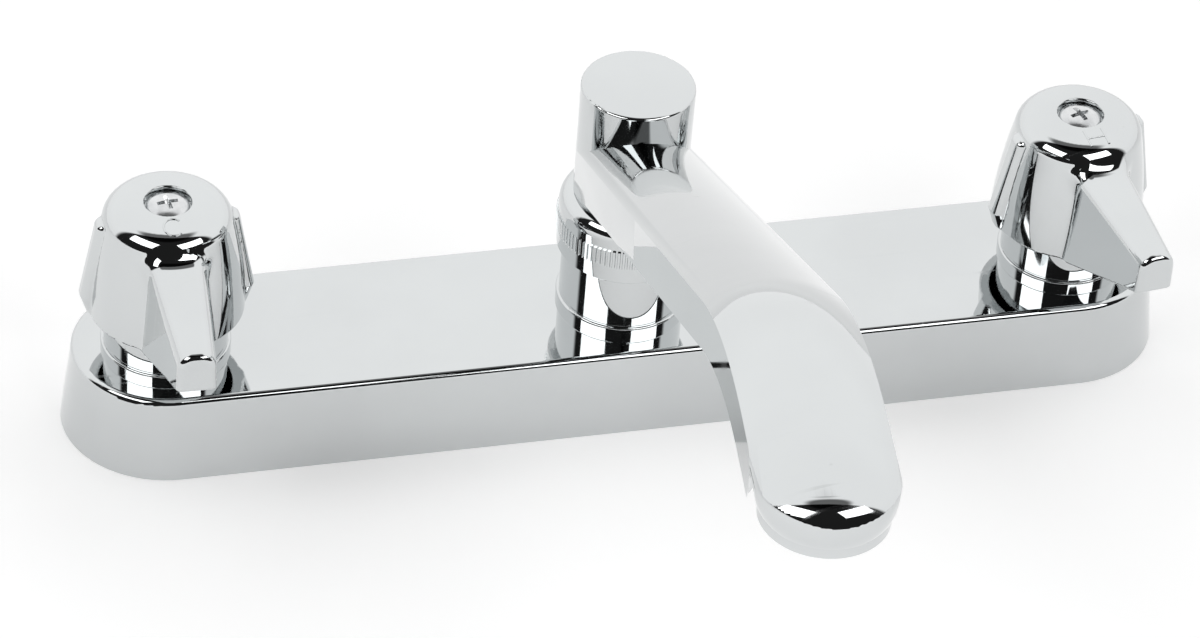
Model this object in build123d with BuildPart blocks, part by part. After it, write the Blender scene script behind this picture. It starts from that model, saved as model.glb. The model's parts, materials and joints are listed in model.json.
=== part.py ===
"""Two handle deck-mounted kitchen faucet of the shell type, in millimetres.

The origin is on the deck, midway between the two handles, in the middle of the plate's depth.
+X runs towards the hot handle, -Y towards the user, +Z up.  Pieces that exist on both sides are
made once on the Z axis, with their front towards -Y, and then placed on each valve axis.
"""
import math
import os

from build123d import *

os.makedirs("parts", exist_ok=True)

# ---------------------------------------------------------------- fits
running_fit = 0.07          # radial clearance of what turns or slides in a bore
thread_fit = 0.05           # radial clearance of what is screwed or pressed in
loose_fit = 0.3             # clearance of what only passes by
closed_gap = 0.02           # between a seat and its washer when the valve is shut
skim = 0.07                 # keeps a cutting outline just clear of a face it must not touch
cut_margin = 1.0            # how far a cutting form reaches past what it cuts

# ---------------------------------------------------------------- deck plate
valve_spacing = 203.2       # between the handle axes (8 inch centres)
plate_depth = 45.6          # front to back at the deck
plate_top_depth = 40.9      # front to back at the upper face
plate_height = 20.1
plate_wall = 1.6
plate_edge_radius = 1.4
gasket_thickness = 2.4
cold_x = -valve_spacing / 2
hot_x = valve_spacing / 2

# ---------------------------------------------------------------- waterways under the plate
shank_radius = 10.4         # half inch pipe thread
shank_bore_radius = 7.5
shank_length = 52.0         # below the deck
supply_end_radius = 10.2    # where the supply nut is screwed on
supply_end_length = 22.0
foot_radius = 15.0
foot_height = 2.0
chamber_radius = 11.5
chamber_bore_radius = 9.0
chamber_top = 33.0
seat_hole_radius = 5.5
floor_height = 4.0          # of the floor that closes the shank's bore
floor_thickness = 4.0
crossover_radius = 4.76     # 3/8 inch copper tube
crossover_bore_radius = 3.9
crossover_height = 12.3
crossover_boss_radius = 5.9
crossover_boss_reach = 14.5     # from the valve's axis
crossover_outer_end = 11.0      # where the tube stops, from the valve's axis
crossover_inner_end = 9.2       # where the tube stops, from the swivel's axis
socket_radius = 12.3
socket_bore_radius = 9.8
socket_passage_radius = 7.0
socket_step_height = 26.0   # where the narrow passage opens into the wide bore

# ---------------------------------------------------------------- shank fasteners
deck_grip = 16.0            # thickness of counter between the gasket and the washers
shank_washer_radius = 18.0
shank_washer_thickness = 1.5
shank_nut_width = 28.0      # across flats
shank_nut_height = 8.0

# ---------------------------------------------------------------- valve
seat_flange_radius = 7.0
seat_flange_height = 2.0
seat_flow_radius = 3.6
valve_lift = 3.0            # of the plunger over half a turn
seat_washer_radius = 6.5
seat_washer_thickness = 2.5
washer_screw_radius = 1.5
washer_screw_head_radius = 2.9
washer_screw_head_height = 1.4
washer_screw_length = 6.0
plunger_foot_radius = 7.0
plunger_foot_height = 2.0
plunger_radius = 6.0
plunger_flats = 9.8         # across the two guiding flats
guide_length = 6.0          # of the plunger inside the bonnet when shut
plunger_floor = 4.5         # metal left between the foot and the screw's bore
drive_radius = 3.0          # threaded lower end of the spindle
collar_radius = 4.8
collar_height = 2.0
stem_radius = 4.0
stem_seal_section = 0.55    # section radius of the O-ring
stem_seal_depth = 1.06
bonnet_gasket_thickness = 0.8
bonnet_hex_width = 19.6     # across flats
bonnet_hex_height = 6.0
bonnet_neck_radius = 7.0
bonnet_neck_height = 1.8
stem_clip_radius = 5.6
stem_clip_thickness = 0.6
stem_clip_depth = 0.6
stem_clip_mouth = 5.0
stem_square = 5.4           # across flats
stem_square_length = 9.0

# ---------------------------------------------------------------- sleeve and handle
sleeve_radius = 13.5
sleeve_bead_height = 1.9
bead_overhang = 0.65        # how far the foot beads of sleeves and hub stand out
bead_edge_radius = 0.5
sleeve_overlap = 5.0        # how far the sleeve stands up inside the handle's skirt
handle_height = 28.1
handle_rise = 16.5          # top of the handle above the spindle's shoulder
handle_top_radius = 14.0    # just under the rounded shoulder
handle_crown = 0.9          # rise of the slightly domed top
handle_shoulder = 3.4       # radius of the rounded shoulder
handle_skirt_radius = 16.9
handle_bulge = 0.5          # how far the side bows out of a straight taper
handle_cavity_radius = 14.6
handle_cavity_depth = 14.0
handle_cavity_top_radius = 12.4
handle_hub_radius = 5.8
recess_radius = 5.1
recess_depth = 2.2
handle_screw_radius = 2.0
handle_screw_length = 13.0
handle_screw_head_radius = 4.7
handle_screw_head_height = 1.8
handle_screw_crown_radius = 3.3
rib_width = 5.0
rib_reach = 18.9            # widest, near the skirt
rib_top_reach = 15.4
rib_top_drop = 4.3          # below the handle's top
rib_belly_height = 4.6      # of the widest point above the skirt
rib_foot_reach = 17.4
rib_heel_bulge = 0.4        # how far the heel bows out of a straight line
rib_edge_radius = 1.9
rib_top_radius = 1.2
lever_reach = 44.0
lever_root_reach = 8.0      # where the lever's root section sits inside the body
lever_top_drop = 6.7        # of the flat top below the handle's top, at the body
lever_fall = 1.4            # of the flat top from body to tip
lever_tip_height = 7.2
lever_start = 16.2          # where the flat top begins, from the axis
lever_blend = 2.2           # radius that joins the flat top to the body
lever_root_width = 11.3     # across the flat top at the root section
lever_foot_width = 16.7     # across the foot of the root section
lever_tip_width = 7.0       # at the top of the tip
lever_tip_foot_width = 8.1  # at the tip, as if it went down to the skirt
lever_edge_radius = 1.2
lever_tip_radius = 1.5
cold_lever_yaw = -1.6       # of the closed levers, as photographed
hot_lever_yaw = 6.5

# ---------------------------------------------------------------- spout hub and nut
hub_radius = 13.8
hub_bead_height = 2.2
hub_height = 15.3
nut_radius = 15.2
nut_height = 14.6
nut_lip = 3.7
nut_dome_radius = 3.6
nut_edge = 0.4

# ---------------------------------------------------------------- spout
spout_reach = 203.2         # swivel axis to the middle of the outlet
spout_yaw = -5.6            # of the spout as photographed
post_radius = 12.4
post_height = 28.0
post_edge_radius = 0.7
tail_radius = 9.6
tail_bore_radius = 6.5
tail_length = 22.0
split_ring_radius = 11.6
split_ring_thickness = 1.8
split_ring_depth = 1.2
split_ring_mouth = 9.0
seal_section = 0.85         # section radius of the spout's O-rings
seal_depth = 1.6
seal_pitch = 5.0
arm_root_height = 10.4      # of the side walls' upper edge above the spout's bottom, at the axis
arm_rise = 28.1             # degrees
arm_bend_radius = 79.0
arm_droop = 5.0             # degrees, past the bend
arm_droop_run = 15.1        # from the end of the bend to the middle of the outlet
arm_side = 9.4              # height of the side walls
arm_crown_radius = 22.5
arm_belly_radius = 40.0
arm_blank_margin = 3.0      # of the swept blank beyond each side wall
arm_overrun = 18.0          # of the swept blank beyond the outlet's axis
arm_passage_width = 17.0
arm_passage_height = 9.0
passage_wall = 2.0          # left between the waterway and the aerator's recess
nose_radius = 13.1
nose_side = 6.2             # of the side walls at the outlet, down to the aerator's flange
nose_edge_radius = 4.4
nose_cup_height = 4.0       # of the rounded lower rim of the nose
nose_cup_tuck = 0.9         # how far that rim draws in
aerator_flange_height = 2.2
aerator_flange_radius = 12.1
aerator_thread_radius = 10.8
aerator_thread_length = 3.4
aerator_bore_radius = 8.8
aerator_lip_radius = 8.0
aerator_lip_height = 0.8
aerator_washer_thickness = 0.9
aerator_washer_hole_radius = 7.6
aerator_hole_radius = 0.9
aerator_inner_row_radius = 3.0
aerator_inner_row_holes = 6
aerator_outer_row_radius = 6.2
aerator_outer_row_holes = 12
throat_width = 14.0         # of the shallow passage above the aerator
throat_height = 2.2

# ---------------------------------------------------------------- heights worked out from the sizes
chamber_floor = floor_height + floor_thickness
seat_top = chamber_floor + seat_flange_height
washer_bottom = seat_top + closed_gap
plunger_bottom = washer_bottom + seat_washer_thickness
foot_top = plunger_bottom + plunger_foot_height
bonnet_bottom = foot_top + valve_lift + 2 * loose_fit
plunger_top = bonnet_bottom + guide_length
drive_bottom = plunger_bottom + plunger_floor + valve_lift + loose_fit
collar_bottom = plunger_top + valve_lift + loose_fit
collar_top = collar_bottom + collar_height
bonnet_shoulder = collar_top + running_fit
hex_bottom = chamber_top + bonnet_gasket_thickness
hex_top = hex_bottom + bonnet_hex_height
bonnet_top = hex_top + bonnet_neck_height
clip_bottom = bonnet_top + 2 * running_fit
clip_top = clip_bottom + stem_clip_thickness
stem_shoulder = clip_top + loose_fit
stem_top = stem_shoulder + stem_square_length
stem_seal_height = (bonnet_shoulder + bonnet_top) / 2
handle_top = stem_shoulder + handle_rise
skirt_bottom = handle_top - handle_height
recess_floor = handle_top - recess_depth
sleeve_top = skirt_bottom + sleeve_overlap
nut_bottom = plate_height + hub_height
nut_top = nut_bottom + nut_height
lip_bottom = nut_top - nut_lip
split_ring_top = lip_bottom - running_fit
split_ring_bottom = split_ring_top - split_ring_thickness
socket_top = split_ring_bottom - running_fit
spout_bottom = nut_top + loose_fit
post_top = spout_bottom + post_height
tail_bottom = spout_bottom - tail_length
deck_underside = -deck_grip
washer_underside = deck_underside - shank_washer_thickness

plate_taper = math.degrees(math.atan((plate_depth - plate_top_depth) / 2 / plate_height))
side_view = Plane(origin=(0, 0, 0), x_dir=(0, -1, 0), z_dir=(-1, 0, 0))   # x forward, y up


def turn(*corners, mode=Mode.ADD):
    """Revolve a closed outline of (radius, height) corners about the Z axis."""
    with BuildSketch(Plane.XZ) as outline:
        with BuildLine():
            Polyline(*corners, close=True)
        make_face()
    revolve(outline.sketch, axis=Axis.Z, mode=mode)


def tube(outer, inner, bottom, top):
    """A plain upright tube on the Z axis."""
    turn((inner, bottom), (outer, bottom), (outer, top), (inner, top))


def torus(ring_radius, section, height):
    """An O-ring lying level on the Z axis."""
    with BuildSketch(Plane.XZ) as outline:
        with Locations((ring_radius, height)):
            Circle(section)
    revolve(outline.sketch, axis=Axis.Z)


def gap_cutter(mouth, outer, bottom, top):
    """Cut the mouth of an open ring, on its front side."""
    with BuildSketch(Plane.XY.offset(bottom)) as opening:
        with Locations((0, -outer / 2)):
            Rectangle(mouth, outer)
    extrude(opening.sketch, amount=top - bottom, mode=Mode.SUBTRACT)


def place(form, name, axis_x, yaw=0.0, axis_y=0.0):
    """Put a finished form on its axis, turned by its yaw, and write it under its name."""
    with BuildPart() as piece:
        with Locations(Location((axis_x, axis_y, 0), (0, 0, yaw))):
            add(form.part)
    piece.part.label = name
    export_step(piece.part, f"parts/{name}.step")
    return piece


# ================================================================ deck plate and underbody
with BuildPart() as deck_shell:
    with BuildSketch():
        SlotCenterToCenter(valve_spacing, plate_depth)
    extrude(amount=plate_height, taper=plate_taper)
    fillet(deck_shell.faces().sort_by(Axis.Z)[-1].edges(), plate_edge_radius)
    with BuildSketch():
        SlotCenterToCenter(valve_spacing, plate_depth - 2 * plate_wall)
    extrude(amount=plate_height - plate_wall, taper=plate_taper, mode=Mode.SUBTRACT)
    with BuildSketch(Plane.XY.offset(plate_height - 2 * plate_wall)):
        with Locations((cold_x, 0), (hot_x, 0)):
            Circle(chamber_radius + loose_fit)
        Circle(socket_radius + loose_fit)
    extrude(amount=3 * plate_wall, mode=Mode.SUBTRACT)
deck_shell.part.label = "deck_shell"
export_step(deck_shell.part, "parts/deck_shell.step")

gasket_margin = plate_wall + gasket_thickness * math.tan(math.radians(plate_taper)) + running_fit
with BuildPart() as deck_gasket:
    with BuildSketch():
        SlotCenterToCenter(valve_spacing, plate_depth - 2 * gasket_margin)
        with Locations((cold_x, 0), (hot_x, 0)):
            Circle(shank_radius + loose_fit, mode=Mode.SUBTRACT)
    extrude(amount=gasket_thickness)
deck_gasket.part.label = "deck_gasket"
export_step(deck_gasket.part, "parts/deck_gasket.step")

# ================================================================ waterways under the plate
# each valve body is made with its port towards +X, and each tube lies between a body and the socket
with BuildPart() as valve_body:
    with BuildSketch(Plane.XY.offset(gasket_thickness)):
        Circle(foot_radius)
    extrude(amount=foot_height)
    with BuildSketch(Plane.XY.offset(gasket_thickness)):
        Circle(chamber_radius)
    extrude(amount=chamber_top - gasket_thickness)
    with BuildSketch(Plane.XY.offset(supply_end_length - shank_length)):
        Circle(shank_radius)
    extrude(amount=shank_length + gasket_thickness - supply_end_length)
    with BuildSketch(Plane.XY.offset(-shank_length)):
        Circle(supply_end_radius)
    extrude(amount=supply_end_length)
    with BuildSketch(Plane.YZ):
        with Locations((0, crossover_height)):
            Circle(crossover_boss_radius)
    extrude(amount=crossover_boss_reach)
    # shank, seat thread, valve chamber, port and seat of the crossover tube
    with BuildSketch(Plane.XY.offset(-shank_length)):
        Circle(shank_bore_radius)
    extrude(amount=shank_length + floor_height, mode=Mode.SUBTRACT)
    with BuildSketch(Plane.XY.offset(floor_height)):
        Circle(seat_hole_radius)
    extrude(amount=floor_thickness, mode=Mode.SUBTRACT)
    with BuildSketch(Plane.XY.offset(chamber_floor)):
        Circle(chamber_bore_radius)
    extrude(amount=chamber_top - chamber_floor, mode=Mode.SUBTRACT)
    with BuildSketch(Plane.YZ):
        with Locations((0, crossover_height)):
            Circle(crossover_bore_radius)
    extrude(amount=crossover_boss_reach, mode=Mode.SUBTRACT)
    with BuildSketch(Plane.YZ.offset(crossover_outer_end)):
        with Locations((0, crossover_height)):
            Circle(crossover_radius + thread_fit)
    extrude(amount=crossover_boss_reach - crossover_outer_end, mode=Mode.SUBTRACT)

with BuildPart() as crossover_tube:
    with BuildSketch(Plane.YZ.offset(crossover_inner_end)):
        with Locations((0, crossover_height)):
            Circle(crossover_radius)
            Circle(crossover_bore_radius, mode=Mode.SUBTRACT)
    extrude(amount=hot_x - crossover_outer_end - crossover_inner_end)

with BuildPart() as spout_socket:
    turn(
        (socket_passage_radius, chamber_floor),
        (0, chamber_floor),
        (0, gasket_thickness),
        (foot_radius, gasket_thickness),
        (foot_radius, gasket_thickness + foot_height),
        (socket_radius, gasket_thickness + foot_height),
        (socket_radius, socket_top),
        (socket_bore_radius, socket_top),
        (socket_bore_radius, socket_step_height),
        (socket_passage_radius, socket_step_height),
    )
    with BuildSketch(Plane.YZ):
        with Locations((0, crossover_height)):
            Circle(crossover_bore_radius)
    extrude(amount=socket_radius, both=True, mode=Mode.SUBTRACT)
    for towards in (1, -1):
        with BuildSketch(Plane.YZ.offset(towards * crossover_inner_end)):
            with Locations((0, crossover_height)):
                Circle(crossover_radius + thread_fit)
        extrude(amount=towards * socket_radius, mode=Mode.SUBTRACT)
spout_socket.part.label = "spout_socket"
export_step(spout_socket.part, "parts/spout_socket.step")

# ================================================================ what holds the faucet to the deck
with BuildPart() as shank_washer:
    tube(shank_washer_radius, shank_radius + loose_fit, washer_underside, deck_underside)

with BuildPart() as shank_nut:
    with BuildSketch(Plane.XY.offset(washer_underside)):
        RegularPolygon(shank_nut_width / 2, 6, major_radius=False)
        Circle(shank_radius + thread_fit, mode=Mode.SUBTRACT)
    extrude(amount=-shank_nut_height)

# ================================================================ valve, from the seat up
with BuildPart() as valve_seat:
    turn(
        (seat_flow_radius, floor_height),
        (seat_hole_radius - thread_fit, floor_height),
        (seat_hole_radius - thread_fit, chamber_floor),
        (seat_flange_radius, chamber_floor),
        (seat_flange_radius, seat_top),
        (seat_flow_radius, seat_top),
    )

with BuildPart() as seat_washer:
    tube(seat_washer_radius, washer_screw_radius + thread_fit, washer_bottom, plunger_bottom)

with BuildPart() as washer_screw:
    turn(
        (0, washer_bottom - washer_screw_head_height),
        (washer_screw_head_radius, washer_bottom - washer_screw_head_height),
        (washer_screw_head_radius, washer_bottom),
        (washer_screw_radius, washer_bottom),
        (washer_screw_radius, washer_bottom + washer_screw_length),
        (0, washer_bottom + washer_screw_length),
    )

with BuildPart() as plunger:
    with BuildSketch(Plane.XY.offset(plunger_bottom)):
        Circle(plunger_foot_radius)
    extrude(amount=plunger_foot_height)
    with BuildSketch(Plane.XY.offset(foot_top)):
        Circle(plunger_radius)
        Rectangle(2 * plunger_radius, plunger_flats, mode=Mode.INTERSECT)
    extrude(amount=plunger_top - foot_top)
    with BuildSketch(Plane.XY.offset(plunger_bottom + plunger_floor)):
        Circle(drive_radius + running_fit)
    extrude(amount=plunger_top - plunger_bottom - plunger_floor, mode=Mode.SUBTRACT)
    with BuildSketch(Plane.XY.offset(plunger_bottom)):
        Circle(washer_screw_radius + thread_fit)
    extrude(amount=washer_screw_length - seat_washer_thickness + thread_fit, mode=Mode.SUBTRACT)

with BuildPart() as bonnet:
    turn(
        (0, bonnet_bottom),
        (chamber_bore_radius - thread_fit, bonnet_bottom),
        (chamber_bore_radius - thread_fit, hex_bottom),
        (0, hex_bottom),
    )
    with BuildSketch(Plane.XY.offset(hex_bottom)):
        RegularPolygon(bonnet_hex_width / 2, 6, major_radius=False)
    extrude(amount=bonnet_hex_height)
    with BuildSketch(Plane.XY.offset(hex_top)):
        Circle(bonnet_neck_radius)
    extrude(amount=bonnet_neck_height)
    with BuildSketch(Plane.XY.offset(bonnet_bottom)):
        Circle(plunger_radius + running_fit)
        Rectangle(2 * plunger_radius + cut_margin, plunger_flats + 2 * running_fit, mode=Mode.INTERSECT)
    extrude(amount=bonnet_shoulder - bonnet_bottom, mode=Mode.SUBTRACT)
    with BuildSketch(Plane.XY.offset(bonnet_shoulder)):
        Circle(stem_radius + running_fit)
    extrude(amount=bonnet_top - bonnet_shoulder, mode=Mode.SUBTRACT)

with BuildPart() as bonnet_gasket:
    tube(chamber_radius - loose_fit, chamber_bore_radius + thread_fit, chamber_top, hex_bottom)

seal_groove_radius = stem_radius - stem_seal_depth
clip_groove_radius = stem_radius - stem_clip_depth
seal_half_groove = stem_seal_section + running_fit
with BuildPart() as spindle:
    turn(
        (0, drive_bottom),
        (drive_radius, drive_bottom),
        (drive_radius, collar_bottom),
        (collar_radius, collar_bottom),
        (collar_radius, collar_top),
        (stem_radius, collar_top),
        (stem_radius, stem_seal_height - seal_half_groove),
        (seal_groove_radius, stem_seal_height - seal_half_groove),
        (seal_groove_radius, stem_seal_height + seal_half_groove),
        (stem_radius, stem_seal_height + seal_half_groove),
        (stem_radius, clip_bottom - thread_fit),
        (clip_groove_radius, clip_bottom - thread_fit),
        (clip_groove_radius, clip_top + thread_fit),
        (stem_radius, clip_top + thread_fit),
        (stem_radius, stem_shoulder),
        (0, stem_shoulder),
    )
    with BuildSketch(Plane.XY.offset(stem_shoulder)):
        Rectangle(stem_square, stem_square)
        Circle(stem_radius, mode=Mode.INTERSECT)
    extrude(amount=stem_square_length)
    with BuildSketch(Plane.XY.offset(stem_top)):
        Circle(handle_screw_radius + thread_fit)
    extrude(amount=-(handle_screw_length - (recess_floor - stem_top) + loose_fit), mode=Mode.SUBTRACT)

with BuildPart() as stem_seal:
    torus(seal_groove_radius + stem_seal_section, stem_seal_section - thread_fit / 2, stem_seal_height)

with BuildPart() as stem_clip:
    tube(stem_clip_radius, clip_groove_radius + thread_fit, clip_bottom, clip_top)
    gap_cutter(stem_clip_mouth, stem_clip_radius + cut_margin, clip_bottom, clip_top)

with BuildPart() as sleeve:
    turn(
        (chamber_radius + thread_fit, plate_height),
        (sleeve_radius + bead_overhang, plate_height),
        (sleeve_radius + bead_overhang, plate_height + sleeve_bead_height),
        (sleeve_radius, plate_height + sleeve_bead_height),
        (sleeve_radius, sleeve_top),
        (chamber_radius + thread_fit, sleeve_top),
    )
    bead_edges = sleeve.edges().filter_by(GeomType.CIRCLE).group_by(SortBy.RADIUS)[-1]
    fillet(bead_edges.sort_by(Axis.Z)[-1], bead_edge_radius)

# ================================================================ canopy handle
with BuildPart() as rib:
    rib_top = handle_top - rib_top_drop
    rib_belly = skirt_bottom + rib_belly_height
    heel_reach = (rib_reach + rib_foot_reach) / 2 + rib_heel_bulge
    with BuildSketch(side_view):
        with BuildLine():
            flank = Line((rib_top_reach, rib_top), (rib_reach, rib_belly))
            heel = ThreePointArc(
                flank @ 1,
                (heel_reach, (rib_belly + skirt_bottom) / 2),
                (rib_foot_reach, skirt_bottom),
            )
            Polyline(heel @ 1, (handle_hub_radius, skirt_bottom), (handle_hub_radius, rib_top), flank @ 0)
        make_face()
    extrude(amount=rib_width / 2, both=True)
    top_corner = rib.edges().filter_by(Axis.X).group_by(Axis.Z)[-1].sort_by(Axis.Y)[0]
    fillet(top_corner, rib_top_radius)
    outer_edges = rib.edges().filter_by(lambda edge: -edge.center().Y > rib_top_reach - rib_top_radius)
    fillet(outer_edges.filter_by(Axis.X, reverse=True), rib_edge_radius)

with BuildPart() as lever:
    lever_top = handle_top - lever_top_drop
    tip_top = lever_top - lever_fall
    for reach, top_height, top_width, foot_width in (
        (lever_root_reach, lever_top, lever_root_width, lever_foot_width),
        (lever_reach, tip_top, lever_tip_width, lever_tip_foot_width),
    ):
        with BuildSketch(Plane.XZ.offset(reach)) as cross_section:
            with BuildLine():
                Polyline(
                    (-foot_width / 2, skirt_bottom),
                    (foot_width / 2, skirt_bottom),
                    (top_width / 2, top_height),
                    (-top_width / 2, top_height),
                    close=True,
                )
            make_face()
            fillet(cross_section.vertices().group_by(Axis.Y)[-1], lever_edge_radius)
    loft(ruled=True)
    with BuildSketch(side_view) as lever_profile:
        with BuildLine():
            Polyline(
                (lever_reach, tip_top + skim),
                (lever_root_reach, lever_top + skim),
                (lever_root_reach, skirt_bottom),
                (handle_skirt_radius, skirt_bottom),
                (lever_reach, tip_top - lever_tip_height),
                close=True,
            )
        make_face()
        fillet(lever_profile.vertices().group_by(Axis.X)[-1].sort_by(Axis.Y)[-1], lever_tip_radius)
    extrude(lever_profile.sketch, amount=lever_foot_width, both=True, mode=Mode.INTERSECT)

with BuildPart() as lever_root:
    with BuildSketch(side_view):
        with BuildLine():
            blend_top = (lever_start - lever_blend, lever_top + lever_blend)
            RadiusArc((lever_start, lever_top), blend_top, lever_blend)
            Polyline(
                blend_top,
                (lever_root_reach, lever_top + lever_blend),
                (lever_root_reach, lever_top - lever_blend),
                (lever_start, lever_top - lever_blend),
                (lever_start, lever_top),
            )
        make_face()
    extrude(amount=lever_root_width / 2 - lever_edge_radius, both=True)

with BuildPart() as canopy_handle:
    side_top = handle_top - handle_crown - handle_shoulder
    middle_radius = (handle_top_radius + handle_skirt_radius) / 2 + handle_bulge
    crown_reach = handle_top_radius - handle_shoulder
    crown_radius = (crown_reach**2 + handle_crown**2) / (2 * handle_crown)
    with BuildSketch(Plane.XZ):
        with BuildLine():
            flank = ThreePointArc(
                (handle_skirt_radius, skirt_bottom),
                (middle_radius, (side_top + skirt_bottom) / 2),
                (handle_top_radius, side_top),
            )
            shoulder = RadiusArc(flank @ 1, (crown_reach, side_top + handle_shoulder), -handle_shoulder)
            crown = RadiusArc(shoulder @ 1, (0, handle_top), -crown_radius)
            Polyline(crown @ 1, (0, skirt_bottom), flank @ 0)
        make_face()
    revolve(axis=Axis.Z)
    for rib_yaw in (90, 180, 270):
        add(rib.part, rotation=(0, 0, rib_yaw))
    add(lever.part)
    add(lever_root.part)
    cavity_roof = skirt_bottom + handle_cavity_depth
    turn(
        (handle_hub_radius, skirt_bottom - cut_margin),
        (handle_cavity_radius, skirt_bottom - cut_margin),
        (handle_cavity_radius, sleeve_top + loose_fit),
        (handle_cavity_top_radius, cavity_roof),
        (handle_hub_radius, cavity_roof),
        mode=Mode.SUBTRACT,
    )
    turn(
        (0, skirt_bottom - cut_margin),
        (handle_hub_radius + cut_margin, skirt_bottom - cut_margin),
        (handle_hub_radius + cut_margin, stem_shoulder),
        (0, stem_shoulder),
        mode=Mode.SUBTRACT,
    )
    with BuildSketch(Plane.XY.offset(stem_shoulder)):
        Rectangle(stem_square + 2 * thread_fit, stem_square + 2 * thread_fit)
    extrude(amount=stem_square_length + loose_fit, mode=Mode.SUBTRACT)
    with BuildSketch(Plane.XY.offset(stem_top)):
        Circle(handle_screw_radius + loose_fit)
    extrude(amount=recess_floor - stem_top, mode=Mode.SUBTRACT)
    with BuildSketch(Plane.XY.offset(recess_floor)):
        Circle(recess_radius)
    extrude(amount=2 * recess_depth, mode=Mode.SUBTRACT)

with BuildPart() as handle_screw:
    turn(
        (0, recess_floor - handle_screw_length),
        (handle_screw_radius, recess_floor - handle_screw_length),
        (handle_screw_radius, recess_floor),
        (handle_screw_head_radius, recess_floor),
        (handle_screw_head_radius, recess_floor + handle_screw_head_height / 2),
        (handle_screw_crown_radius, recess_floor + handle_screw_head_height),
        (0, recess_floor + handle_screw_head_height),
    )

# ================================================================ both valves
for side, axis_x, lever_yaw, port_yaw in (
    ("cold", cold_x, cold_lever_yaw, 0),
    ("hot", hot_x, hot_lever_yaw, 180),
):
    place(shank_washer, f"{side}_shank_washer", axis_x)
    place(shank_nut, f"{side}_shank_nut", axis_x)
    place(valve_body, f"{side}_valve_body", axis_x, port_yaw)
    place(crossover_tube, f"{side}_crossover_tube", 0, 180 - port_yaw)
    place(valve_seat, f"{side}_seat", axis_x)
    place(seat_washer, f"{side}_seat_washer", axis_x)
    place(washer_screw, f"{side}_washer_screw", axis_x)
    place(plunger, f"{side}_plunger", axis_x)
    place(bonnet, f"{side}_bonnet", axis_x)
    place(bonnet_gasket, f"{side}_bonnet_gasket", axis_x)
    place(sleeve, f"{side}_sleeve", axis_x)
    place(spindle, f"{side}_spindle", axis_x, lever_yaw)
    place(stem_seal, f"{side}_stem_seal", axis_x)
    place(stem_clip, f"{side}_stem_clip", axis_x, lever_yaw)
    place(canopy_handle, f"{side}_handle", axis_x, lever_yaw)
    place(handle_screw, f"{side}_handle_screw", axis_x, lever_yaw)

# ================================================================ spout hub and nut
with BuildPart() as spout_hub:
    turn(
        (socket_radius + thread_fit, plate_height),
        (hub_radius + bead_overhang, plate_height),
        (hub_radius + bead_overhang, plate_height + hub_bead_height),
        (hub_radius, plate_height + hub_bead_height),
        (hub_radius, nut_bottom),
        (socket_radius + thread_fit, nut_bottom),
    )
    bead_edges = spout_hub.edges().filter_by(GeomType.CIRCLE).group_by(SortBy.RADIUS)[-1]
    fillet(bead_edges.sort_by(Axis.Z)[-1], bead_edge_radius)
spout_hub.part.label = "spout_hub"
export_step(spout_hub.part, "parts/spout_hub.step")

with BuildPart() as spout_nut:
    turn(
        (socket_radius + thread_fit, nut_bottom),
        (nut_radius, nut_bottom),
        (nut_radius, nut_top),
        (tail_radius + loose_fit, nut_top),
        (tail_radius + loose_fit, lip_bottom),
        (socket_radius + thread_fit, lip_bottom),
    )
    rim_edges = spout_nut.edges().filter_by(GeomType.CIRCLE).group_by(SortBy.RADIUS)[-1].sort_by(Axis.Z)
    fillet(rim_edges[-1], nut_dome_radius)
    chamfer(rim_edges[0], nut_edge)
spout_nut.part.label = "spout_nut"
export_step(spout_nut.part, "parts/spout_nut.step")

# ================================================================ spout
edge_height = spout_bottom + arm_root_height
arm_half_width = (post_radius + nose_radius) / 2
arm_sag = arm_crown_radius - math.sqrt(arm_crown_radius**2 - arm_half_width**2)
blank_half_width = arm_half_width + arm_blank_margin
crown_drop = arm_crown_radius - math.sqrt(arm_crown_radius**2 - blank_half_width**2)
belly_sag = arm_belly_radius - math.sqrt(arm_belly_radius**2 - arm_half_width**2)
belly_drop = arm_belly_radius - math.sqrt(arm_belly_radius**2 - blank_half_width**2)
rise_slope = math.tan(math.radians(arm_rise))
droop_slope = math.tan(math.radians(arm_droop))
bend_run = arm_bend_radius * (math.sin(math.radians(arm_rise)) + math.sin(math.radians(arm_droop)))
bend_rise = arm_bend_radius * (math.cos(math.radians(arm_droop)) - math.cos(math.radians(arm_rise)))
riser_run = spout_reach - arm_droop_run - bend_run
riser_top = edge_height + riser_run * rise_slope
nose_edge_height = riser_top + bend_rise - arm_droop_run * droop_slope
boss_bottom = nose_edge_height - nose_side
outlet_height = boss_bottom - aerator_flange_height
outlet_bore_top = boss_bottom + aerator_thread_length + aerator_washer_thickness
nose_front = spout_reach + nose_radius
recess_back = spout_reach - nose_radius - loose_fit
passage_end = recess_back - passage_wall


def arm_path(start, end):
    """Side edge of the arm's top: the straight rise, the bend and the droop to the nose."""
    with BuildLine(side_view) as path:
        riser = Line((start, edge_height + start * rise_slope), (riser_run, riser_top))
        bend = JernArc(riser @ 1, riser % 1, arm_bend_radius, -(arm_rise + arm_droop))
        Line(bend @ 1, (end, nose_edge_height - (end - spout_reach) * droop_slope))
    return path.line


def across(path):
    """Plane across the start of a path, its x to the right and its y square to the path."""
    return Plane(origin=path @ 0, x_dir=(1, 0, 0), z_dir=path % 0)


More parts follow.
